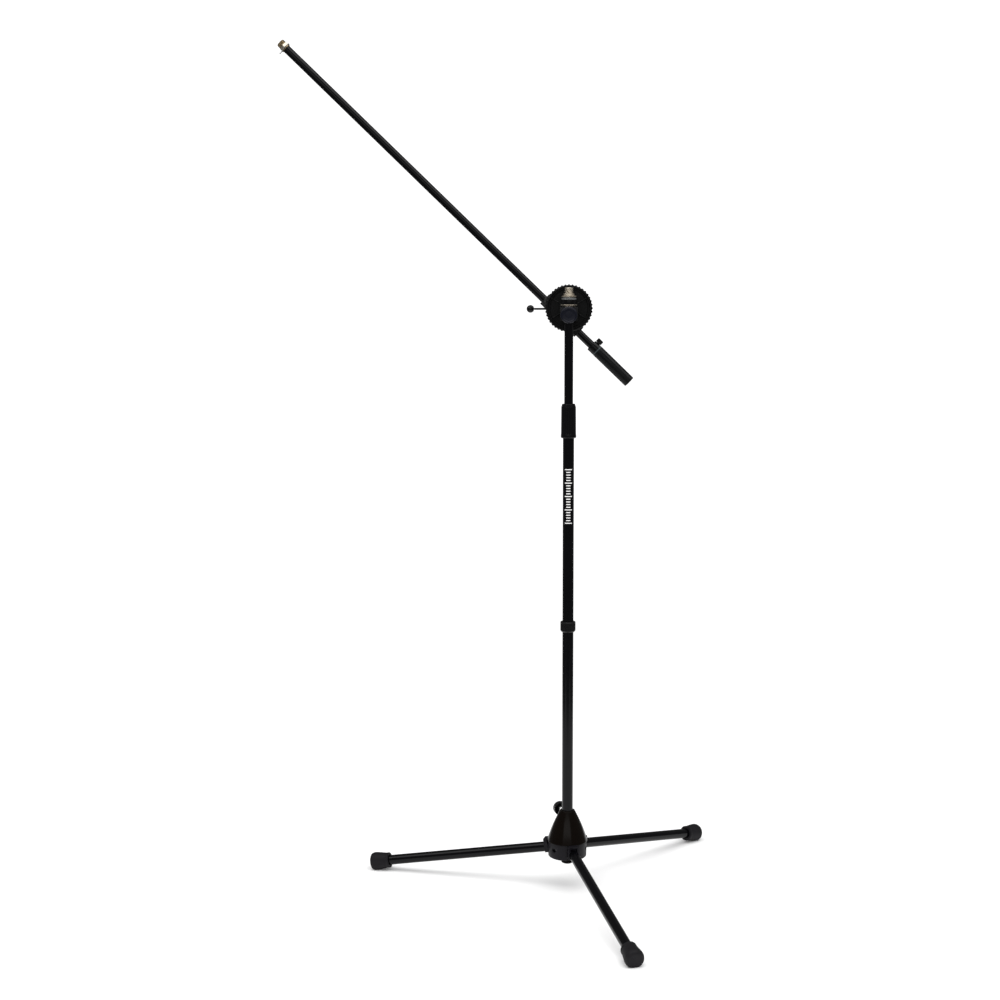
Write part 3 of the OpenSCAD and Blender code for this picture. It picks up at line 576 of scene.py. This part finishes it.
def clutch_grip():
    """The height clutch's grip: twelve shallow flutes that run out above its foot, and a bevelled top."""
    z0, z1, r = extent("clutch_grip", MAST)
    top_r, lip = r - 0.8, 8.6
    low_in = extent("mast_lower_tube", MAST)[2] + 0.4
    body_in = extent("clutch_body", MAST)[2] + 0.06
    body_z0, body_z1, _ = extent("clutch_body", MAST)
    corners = outline([
        (low_in, z0, 0.3), (r - 1.2, z0, 0.8), (r, z0 + 1.8, 0.8), (r - 0.1, z0 + 5, 2),
        (r - 0.45, z0 + 8, 3),
        (top_r, z1 - 6, 1.2), (top_r - 1.8, z1, 0.8), (lip, z1, 0.4), (lip, z1 - 4, 0.3), (10, z1 - 5),
        (11.5, body_z1 + 2), (body_in, body_z1 + 0.5), (body_in, body_z0 - 0.5), (low_in, body_z0 - 1.5),
    ])
    turned("clutch_grip_shell", corners, MAST, "clutch_grip", "clutch_grip", "grip_plastic", 192,
           flutes(12, 0.6, z0 + 4, z1 + 3, 6, top_r - 2.4, 1.5), step=1.6)


def scale_marks():
    """A plain row of printed ticks on the front of the middle tube."""
    bm = bmesh.new()
    r = extent("mast_middle_tube", MAST)[2]
    ink, pitch, count, bottom, height = 0.04, 5, 21, 703, 1.7
    long_half, short_half, long_every, columns = 38, 22, 5, 12
    for i in range(count):
        half = math.radians(long_half if i % long_every == 0 else short_half)
        z = bottom + pitch * i
        grid = []
        for k in range(columns + 1):
            a = -TAU / 4 - half + 2 * half * k / columns
            grid.append([bm.verts.new((rr * math.cos(a), rr * math.sin(a), zz))
                         for rr, zz in ((r, z), (r + ink, z), (r + ink, z + height), (r, z + height))])
        for a, b in zip(grid, grid[1:]):
            for j in range(4):
                bm.faces.new([a[j], b[j], b[(j + 1) % 4], a[(j + 1) % 4]])
        bm.faces.new(grid[0])
        bm.faces.new(list(reversed(grid[-1])))
    made = piece("scale_marks", bm, MAST, "mast", [], "black_paint")
    made.data.materials.clear()
    made.data.materials.append(print_white())


# ---------------------------------------------------------------- head


def stud(name, place, body, cad_node, thread_from, flange=None):
    """A 5/8 inch stud with 27 threads to the inch where it stands free."""
    z0, z1, wide = extent(cad_node, place)
    r, root, thread_depth = STUD_R, STUD_R - 1.0, 0.5
    if flange:
        low = flange[0]
        start = [(0, z0), (root - 0.6, z0), (root - 0.6, low), (wide, low, 0.2), (wide, flange[1], 0.3),
                 (r, flange[1])]
    else:
        start = [(0, z0), (root, z0), (root, z0 + 30), (r, z0 + 30)]
    free = stepped([Vector((r, thread_from)), Vector((r, z1 - 1))], STUD_PITCH / 6, False)
    end = z1 - 0.02               # just inside the CAD's end
    corners = (outline(start, closed=False) + free
               + [Vector(p) for p in ((r - 1, end), (4.2, end), (3.8, end - 0.5), (0, end - 0.5))])
    turned(name, corners, place, body, cad_node, SLOT_OF[cad_node], 72,
           screw_thread(STUD_PITCH, thread_depth, thread_from, z1 - 0.2, r - 0.05), False, crease=70)


def ring(name, place, body, cad_node, slot, bore, edge):
    """A washer or spacer with rounded edges."""
    z0, z1, r = extent(cad_node, place)
    corners = outline([(bore, z0, 0.15), (r, z0, edge), (r, z1, edge), (bore, z1, 0.15)])
    turned(name, corners, place, body, cad_node, slot)


def head_stack():
    """The turned parts on the mast's stud: plate, spacer, lock washer, washer and flanged nut."""
    bore = STUD_R
    z0, z1, r = extent("head_plate", MAST)
    corners = outline([(bore, z0), (r - 3.5, z0, 0.8), (r, z1 - 1, 0.5), (r, z1, 0.4), (bore, z1, 0.2)])
    turned("head_plate_chrome", corners, MAST, "head", "head_plate", "nickel")
    ring("head_spacer_ring", MAST, "head", "head_spacer", "grip_plastic", bore, 1.0)
    z0, z1, r = extent("head_lock_washer", MAST)
    body_top, neck = z0 + 2.6, 10
    corners = outline([(bore, z0), (r, z0, 0.4), (r, body_top, 0.4), (neck, body_top, 0.3), (neck, z1, 0.3),
                       (bore, z1)])
    turned("head_lock_ring", corners, MAST, "head", "head_lock_washer", "zinc_steel", 192,
           flutes(24, 0.8, z0 + 0.1, body_top - 0.1, 0.3, neck + 1.5, 0.7), step=0.8)
    ring("head_washer_ring", MAST, "head", "head_washer", "nickel", bore, 0.6)
    z0, z1, r = extent("head_nut", MAST)
    corners = outline([(bore, z0), (r, z0, 0.3), (r, z0 + 1, 0.4), (r - 1, z0 + 1.9, 0.6),
                       (r - 1.5, z1, 0.5), (bore, z1, 0.3)])
    turned("head_flange_nut", corners, MAST, "head", "head_nut", "nickel", 96,
           flutes(18, 0.35, z0 + 1.2, z1 + 1, 0.6, 8.4, 1), step=0.6)


def head_knob():
    """A round knob with a raised ring and a dished face."""
    z0, z1, r = extent("head_lock_knob", HEAD_KNOB)
    corners = outline([
        (0, z0), (r - 3, z0, 0.6), (r - 0.4, z0 + 3, 1), (r, z0 + 4.4, 1), (r, z1 - 3.4, 2),
        (r - 1, z1 - 1.1, 1.4),
        (r - 3.2, z1, 1), (r - 4.6, z1 - 0.9, 0.8), (6.2, z1 - 1.3, 2), (5.4, z1 - 1.0, 0.6), (0, z1 - 0.9),
    ], closed=False)
    turned("head_knob_shell", corners, HEAD_KNOB, "head_knob", "head_lock_knob", "knob_plastic", 216,
           flutes(18, 0.5, z0 + 3.5, z1 - 1.6, 2.4, r - 1.1, 2), False, step=1.2)


def tilt_wheel():
    """A toothed wheel with a deep face, six thin ribs and a round hub."""
    z0, z1, outer = extent("tilt_wheel", TILT)
    teeth, tooth_r, tooth_h = 40, 2.2, 1.5
    rim = outer - tooth_h
    rim_in, hub, bore, web = rim - 4, 10, 4.5, 3
    pitch = TAU / teeth

    def toothed(angle, r, z):
        if r < rim - 1.4:
            return r, z
        off = (angle + pitch / 2) % pitch - pitch / 2
        reach = (outer - tooth_r) * math.sin(off)
        if abs(reach) >= tooth_r:
            return r, z
        crown = (outer - tooth_r) * math.cos(off) + math.sqrt(tooth_r ** 2 - reach ** 2) - rim
        return r + max(0, crown) * fade(z, z0 + 0.2, z1 - 0.2, 1.5), z
    corners = outline([
        (bore, z0 + 0.8, 0.3), (6.4, z0 + 0.8, 0.2), (6.6, z0, 0.3), (hub, z0, 0.7),
        (hub + 0.3, z1 - web, 1.2),
        (rim_in - 4, z1 - web, 0.5), (rim_in - 3.4, z1 - web - 0.8, 0.5), (rim_in, z1 - web - 0.8, 0.6),
        (rim_in, z0 + 0.2, 0.5), (rim_in + 1, z0, 0.5), (rim - 1.3, z0, 0.6), (rim, z0 + 1.3, 0.6),
        (rim, z1 - 1.3, 0.6), (rim - 1.3, z1, 0.6), (bore, z1, 0.3),
    ])
    bm = bmesh.new()
    add_lathe(bm, stepped(corners, 2.5), teeth * 12, toothed)
    ribs, rib_t, rib_low = 6, 1.6, 1.5
    length = rim_in - hub + 1.6
    height = z1 - web - z0 - rib_low + 0.5
    for i in range(ribs):
        turn = Matrix.Rotation(TAU * i / ribs + TAU / 12, 4, "Z")
        spot = Matrix.Translation((hub - 0.8 + length / 2, 0, z0 + rib_low + height / 2))
        add_block(bm, (length, rib_t, height), turn @ spot, 0.4)
    piece("tilt_wheel_shell", bm, TILT, "tilt_wheel", ["tilt_wheel"], "wheel_plastic")


def nut(name, place, body, cad_node, slot, across_flats, bore):
    """A hexagon nut with its corners chamfered round."""
    chamfer = 0.8
    z0, z1, r = extent(cad_node, place)
    corners = outline([(bore, z0, 0.2), (r - chamfer, z0, 0.2), (r, z0 + chamfer * 0.6, 0.2),
                       (r, z1 - chamfer * 0.6, 0.2), (r - chamfer, z1, 0.2), (bore, z1, 0.2)])
    turned(name, corners, place, body, cad_node, slot, 96, hexagon(across_flats), step=1.2, crease=24)


# ---------------------------------------------------------------- boom


def lever():
    """The clamp's tommy lever: a knurled screw head, a round bar and a moulded ball."""
    pivot = Vector(joint("clamp_lever_turn")["pos_m"])
    screw = frame_at((pivot.x, TILT_AT.y, pivot.z), BACK, (1, 0, 0))
    z0, z1, r = extent("lever_screw", screw)
    shank, head_z = 4, z1 - 8
    corners = outline([
        (0, z0), (shank - 0.5, z0, 0.2), (shank, z0 + 0.6), (shank, head_z), (r, head_z, 0.5),
        (r, z1, 0.9), (r - 2, z1, 0.3), (r - 2.4, z1 - 0.4, 0.2), (0, z1 - 0.4),
    ], closed=False)
    turned("lever_screw_head", corners, screw, "clamp_lever", "lever_screw", "black_steel", 144,
           flutes(24, 0.3, head_z + 0.8, z1 - 0.8, 0.6, r - 0.8, 1), False, step=0.8)
    low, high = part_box("lever_rod")
    mid = (low + high) / 2
    bar = frame_at((0, mid.y, mid.z), (-1, 0, 0), UP)
    z0, z1, r = extent("lever_rod", bar)
    root = r - 0.25
    corners = outline([(0, z0), (r, z0, 0.4), (r, z1 - 4.5, 0.2), (root, z1 - 4, 0.2), (root, z1), (0, z1)],
                      closed=False)
    turned("lever_bar", corners, bar, "clamp_lever", "lever_rod", "black_steel", 40, closed=False, step=3)
    z0, z1, r = extent("lever_ball", bar)
    centre = (z0 + z1) / 2
    neck, seam = 3.4, 0.06
    first = math.asin(neck / r)
    steps = 40
    arc = [first + (math.pi - first) * k / steps for k in range(steps + 1)]
    round_part = [Vector((max(0.0, (r - (seam if abs(a - math.pi / 2) < 0.03 else 0)) * math.sin(a)),
                          centre - r * math.cos(a))) for a in arc]
    round_part[-1].x = 0
    hole, top = 1.95, round_part[0].y
    start = [Vector((0, top + 1)), Vector((hole, top + 1)), Vector((hole, top))]
    turned("lever_ball_knob", start + round_part, bar, "clamp_lever", "lever_ball", "ball_plastic",
           closed=False)


def tip_washer():
    """A lock washer with one tab bent up on the lower side."""
    z0, z1, _ = extent("tip_washer", BOOM)
    bore, r, thick, tab_w = STUD_R, 10.2, 1, 3.2
    bm = bmesh.new()
    disc = outline([(bore, z0, 0.1), (r, z0, 0.25), (r, z0 + thick, 0.25), (bore, z0 + thick, 0.1)])
    add_lathe(bm, disc, 96)
    tab_len, tab_mid, bend_mid, edge = 5.5, -12.25, -14.5, 0.25
    add_block(bm, (tab_len, tab_w, thick), Matrix.Translation((tab_mid, 0, z0 + thick / 2)), edge)
    add_block(bm, (thick, tab_w, z1 - z0), Matrix.Translation((bend_mid, 0, (z0 + z1) / 2)), edge)
    piece("tip_tab_washer", bm, BOOM, "boom", ["tip_washer"], "zinc_steel")


def counterweight():
    """The counterweight's sleeve and collar, and the thumb screw that holds it."""
    z0, z1, r = extent("weight_sleeve", BOOM)
    core = extent("weight_core", BOOM)[2]
    corners = outline([
        (0, z0 + 0.5), (5.5, z0 + 0.5, 0.4), (6.2, z0, 0.4), (r - 1.1, z0, 1.0), (r - 0.2, z0 + 1.1, 0.8),
        (r, z1, 0.4), (core, z1), (core, z0 + 1), (0, z0 + 1),
    ], closed=False)
    turned("weight_shell", corners, BOOM, "counterweight", "weight_sleeve", "weight_plastic", 128,
           closed=False, step=4)
    z0, z1, r = extent("weight_collar", BOOM)
    bore = extent("boom_tube", BOOM)[2] + 0.08
    corners = outline([(bore, z0, 0.1), (r, z0, 0.4), (r, z1 - 1, 0.6), (r - 1, z1, 0.4), (bore, z1, 0.2)])
    turned("weight_collar_ring", corners, BOOM, "counterweight", "weight_collar", "grip_plastic", 128,
           step=2)
    turn = joint("weight_screw_turn")
    spot = Vector(turn["pos_m"])
    along = (spot - BOOM.translation).dot(BOOM_AXIS)
    screw = frame_at(BOOM.translation + along * BOOM_AXIS, turn["axis"], BOOM_AXIS)
    z0, z1, r = extent("weight_screw", screw)
    head = z1 - 8
    corners = outline([
        (0, z0), (2.5, z0, 0.2), (3, z0 + 0.5), (3, head - 0.2), (r - 0.8, head, 0.2), (r, head + 0.8, 0.3),
        (r, z1 - 0.9, 0.5), (r - 0.9, z1, 0.4), (3.4, z1, 0.3), (2.6, z1 - 0.7, 0.4), (0, z1 - 0.7),
    ], closed=False)
    turned("weight_thumb_screw", corners, screw, "weight_screw", "weight_screw", "grip_plastic", 180,
           flutes(20, 0.4, head + 0.6, z1 - 0.5, 0.8, r - 0.9, 1), False, step=0.8)


# ---------------------------------------------------------------- stage


def floor_and_light():
    """A small pale floor under a bright, even sky, as in a product studio."""
    half, below = 1.2, 0.0002
    mesh = bpy.data.meshes.new("floor")
    corners = [(-half, -half, 0), (half, -half, 0), (half, half, 0), (-half, half, 0)]
    mesh.from_pydata(corners, [], [(0, 1, 2, 3)])
    floor = bpy.data.objects.new("floor", mesh)
    bpy.context.scene.collection.objects.link(floor)
    floor.location.z = -below
    material = bpy.data.materials.new("floor")
    material.use_nodes = True
    tree = material.node_tree
    shader = tree.nodes["Principled BSDF"]
    shader.inputs["Roughness"].default_value = 0.9
    shader.inputs["Specular IOR Level"].default_value = 0.1
    where = node(tree, "ShaderNodeTexCoord").outputs["Object"]
    tree.links.new(mixed(tree, noise(tree, where, 3.0), (0.9, 0.9, 0.9), (0.92, 0.92, 0.92)),
                   shader.inputs["Base Color"])
    mesh.materials.append(material)

    world = bpy.data.worlds.new("studio")
    bpy.context.scene.world = world
    world.use_nodes = True
    tree = world.node_tree
    tree.nodes.clear()
    white = (1, 1, 1, 1)
    backdrop = node(tree, "ShaderNodeBackground", Color=white, Strength=1.15)
    ambient = node(tree, "ShaderNodeBackground", Color=white, Strength=0.8)
    dim = node(tree, "ShaderNodeBackground", Color=white, Strength=0.15)
    ray = node(tree, "ShaderNodeLightPath")
    unlit = node(tree, "ShaderNodeMixShader")
    chosen = node(tree, "ShaderNodeMixShader")
    tree.links.new(ray.outputs["Is Glossy Ray"], unlit.inputs[0])
    tree.links.new(ambient.outputs[0], unlit.inputs[1])
    tree.links.new(dim.outputs[0], unlit.inputs[2])
    tree.links.new(ray.outputs["Is Camera Ray"], chosen.inputs[0])
    tree.links.new(unlit.outputs[0], chosen.inputs[1])
    tree.links.new(backdrop.outputs[0], chosen.inputs[2])
    tree.links.new(chosen.outputs[0], node(tree, "ShaderNodeOutputWorld").inputs[0])

    soft_box("overhead_bank", (0, -0.75, 3.0), (0, 0, -1), (1, 0, 0), 6.2, 2.1, 100)
    soft_box("front_window", (-0.1, -3.4, 1.85), (0, 1, -0.45), (1, 0, 0), 3.4, 1.1, 12)


def soft_box(name, at, aim, along, length, width, power):
    """A rectangular soft light, its length turned to lie along a given direction."""
    lamp = bpy.data.lights.new(name, "AREA")
    lamp.shape = "RECTANGLE"
    lamp.size, lamp.size_y = length, width
    lamp.energy = power
    made = bpy.data.objects.new(name, lamp)
    made.matrix_world = frame_at(at, -Vector(aim), along) @ Matrix.Scale(1 / MM, 4)
    bpy.context.scene.collection.objects.link(made)


def camera():
    """The photograph's view: three metres in front, looking slightly down and left."""
    focal_px, image_px, sensor = 1620, 1000, 36
    away, height = 2.991, 1.120
    pitch, yaw, roll = math.radians(7.125), math.radians(-2.434), math.radians(-0.125)
    lens = bpy.data.cameras.new("camera")
    lens.sensor_width = sensor
    lens.lens = focal_px / image_px * sensor
    lens.clip_end = 100
    made = bpy.data.objects.new("camera", lens)
    ahead = Vector((math.sin(yaw) * math.cos(pitch), math.cos(yaw) * math.cos(pitch), -math.sin(pitch)))
    facing = ahead.to_track_quat("-Z", "Y").to_matrix().to_4x4() @ Matrix.Rotation(roll, 4, "Z")
    made.matrix_world = Matrix.Translation((0, -away, height)) @ facing
    bpy.context.scene.collection.objects.link(made)
    bpy.context.scene.camera = made
    bpy.context.scene.view_settings.view_transform = "Standard"


# ---------------------------------------------------------------- assembly

paint_cad()
camera()
floor_and_light()

hub_cone()
softened("hub_ring", "hub_body", "hub", "satin_plastic", 0.4)
pivot_bolts()
hub_knob()
threaded_rod("hub_lock_thread", HUB_LOCK, "hub_knob", "hub_lock_screw", "bright_screw", 1.25, 0.5)
for side in LEGS:
    softened(f"leg_{side}_block", f"leg_{side}_hinge", f"leg_{side}", "satin_plastic", 0.5)
    foot(side)
foot_plug()
joint_collar()
clutch_grip()
scale_marks()

stud("head_stud_threaded", MAST, "head", "head_stud", extent("head_nut", MAST)[1])
head_stack()
head_knob()
softened("head_bracket_casting", "head_bracket", "head", "cast_black", 0.6)
tilt_wheel()
ring("tilt_rear_washer", TILT, "head", "tilt_washer", "zinc_steel", 4.0, 0.3)
nut("tilt_rear_nut", TILT, "head", "tilt_nut", "zinc_steel", 13, 4.0)
threaded_rod("tilt_stud_thread", TILT, "head", "tilt_stud", "zinc_steel", 1.25, 0.4)

softened("boom_clamp_casting", "boom_clamp", "boom_clamp", "cast_black", 0.5)
lever()
flange_z, flange_t = extent("boom_tube", BOOM)[1], 2
stud("tip_stud_threaded", BOOM, "boom", "tip_stud", extent("tip_nut", BOOM)[1],
     flange=(flange_z, flange_z + flange_t))
tip_washer()
nut("tip_hex_nut", BOOM, "boom", "tip_nut", "nickel", 17, STUD_R)
counterweight()
